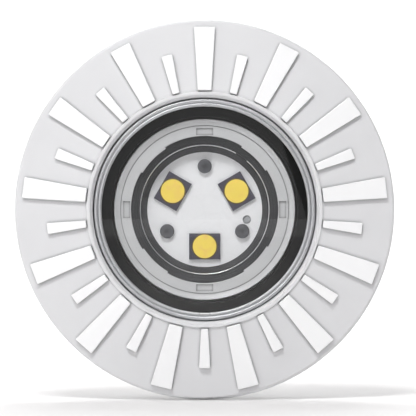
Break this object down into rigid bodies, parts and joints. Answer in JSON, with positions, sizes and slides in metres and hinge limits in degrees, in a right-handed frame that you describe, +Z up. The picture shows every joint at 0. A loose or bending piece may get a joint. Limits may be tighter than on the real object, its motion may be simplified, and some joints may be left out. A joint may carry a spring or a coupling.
{
  "type": "underwater pool light",
  "caption": "Round wall-mounted underwater pool light: ribbed white face trim, domed clear lens, sealed LED lamp that twists into a wall ring, and a cable gland behind.",
  "frame": {"origin": "where the lamp's axis meets the pool wall's surface, which the wall gasket lies against", "axes": "-Y out of the wall towards the pool, along the lamp's axis; +Z up; +X to the right as seen from the pool"},
  "size_m": [0.17, 0.0828, 0.17],
  "materials": {
    "wall_flange": "moulded white ABS",
    "wall_collar": "moulded white ABS, solvent-welded behind the flange",
    "wall_gasket": "moulded EPDM rubber",
    "face_trim": "moulded white ABS, satin",
    "lens_bezel": "rolled and crimped stainless steel",
    "index_key": "moulded white plastic",
    "lens": "clear polished lens",
    "lens_gasket": "moulded black EPDM rubber",
    "seat_gasket": "moulded black EPDM rubber",
    "lamp_housing": "moulded light grey glass-filled nylon",
    "heat_sink": "turned and bead-blasted aluminium",
    "heat_sink_screws": "stainless steel",
    "thermal_pad": "silicone pad",
    "led_board": "white solder mask on an aluminium-core board",
    "led_packages": "dark ceramic LED package",
    "led_phosphors": "yellow phosphor in silicone",
    "board_screws": "black-oxide steel",
    "locating_pin": "turned aluminium",
    "baffle_cone": "moulded dark grey plastic",
    "snap_ring": "bright spring steel wire",
    "engine_cup": "moulded dark grey plastic",
    "retaining_ring": "moulded light grey plastic",
    "driver_standoffs": "nickel-free brass",
    "driver_board": "green solder mask on glass-epoxy",
    "driver_screws": "stainless steel",
    "driver_choke": "ferrite ring wound with enamelled copper",
    "driver_capacitors": "sleeved aluminium can",
    "bridge_rectifier": "black epoxy",
    "driver_chip": "black epoxy",
    "terminal_blocks": "moulded nylon",
    "terminal_screws": "plated steel",
    "board_socket": "moulded nylon",
    "led_leads": "silicone-insulated wire",
    "gland_body": "moulded black nylon",
    "gland_o_ring": "nitrile rubber",
    "gland_locknut": "moulded black nylon",
    "gland_seal": "neoprene",
    "gland_washer": "moulded acetal",
    "gland_nut": "moulded black nylon"
  },
  "bodies": {
    "wall": {"wall_flange": "wall_flange", "wall_collar": "wall_collar", "wall_gasket": "wall_gasket"},
    "trim": {"face_trim": "face_trim"},
    "lamp": {"lens_bezel": "lens_bezel", "index_key": "index_key", "lens": "lens", "lens_gasket": "lens_gasket", "seat_gasket": "seat_gasket", "lamp_housing": "lamp_housing", "heat_sink": "heat_sink", "heat_sink_screws": "heat_sink_screws", "thermal_pad": "thermal_pad", "led_board": "led_board", "led_packages": "led_packages", "led_phosphors": "led_phosphors", "board_screws": "board_screws", "locating_pin": "locating_pin", "baffle_cone": "baffle_cone", "snap_ring": "snap_ring", "engine_cup": "engine_cup", "driver_standoffs": "driver_standoffs", "driver_board": "driver_board", "driver_screws": "driver_screws", "driver_choke": "driver_choke", "driver_capacitors": "driver_capacitors", "bridge_rectifier": "bridge_rectifier", "driver_chip": "driver_chip", "terminal_blocks": "terminal_blocks", "terminal_screws": "terminal_screws", "board_socket": "board_socket", "led_leads": "led_leads", "gland_body": "gland_body", "gland_o_ring": "gland_o_ring", "gland_locknut": "gland_locknut", "gland_seal": "gland_seal"},
    "retaining_ring": {"retaining_ring": "retaining_ring"},
    "gland_washer": {"gland_washer": "gland_washer"},
    "gland_nut": {"gland_nut": "gland_nut"}
  },
  "joints": [
    {"name": "lamp_twist", "type": "hinge", "parent": "wall", "child": "lamp", "pos_m": [0, 0, 0], "axis": [0, -1, 0], "range_deg": [0, 40]},
    {"name": "trim_twist", "type": "hinge", "parent": "wall", "child": "trim", "pos_m": [0, 0, 0], "axis": [0, -1, 0], "range_deg": [0, 18]},
    {"name": "ring_twist", "type": "hinge", "parent": "lamp", "child": "retaining_ring", "pos_m": [0, 0, 0], "axis": [0, -1, 0], "range_deg": [0, 45]},
    {"name": "gland_washer_slide", "type": "slide", "parent": "lamp", "child": "gland_washer", "axis": [0, 1, 0], "range_m": [0, 0.00301]},
    {"name": "gland_nut_turn", "type": "hinge", "parent": "gland_washer", "child": "gland_nut", "pos_m": [0, 0, 0], "axis": [0, 1, 0], "range_deg": [0, 720]}
  ],
  "couplings": [
    {"joint": "gland_washer_slide", "follows": "gland_nut_turn", "m_per_rad": 0.00023873}
  ]
}
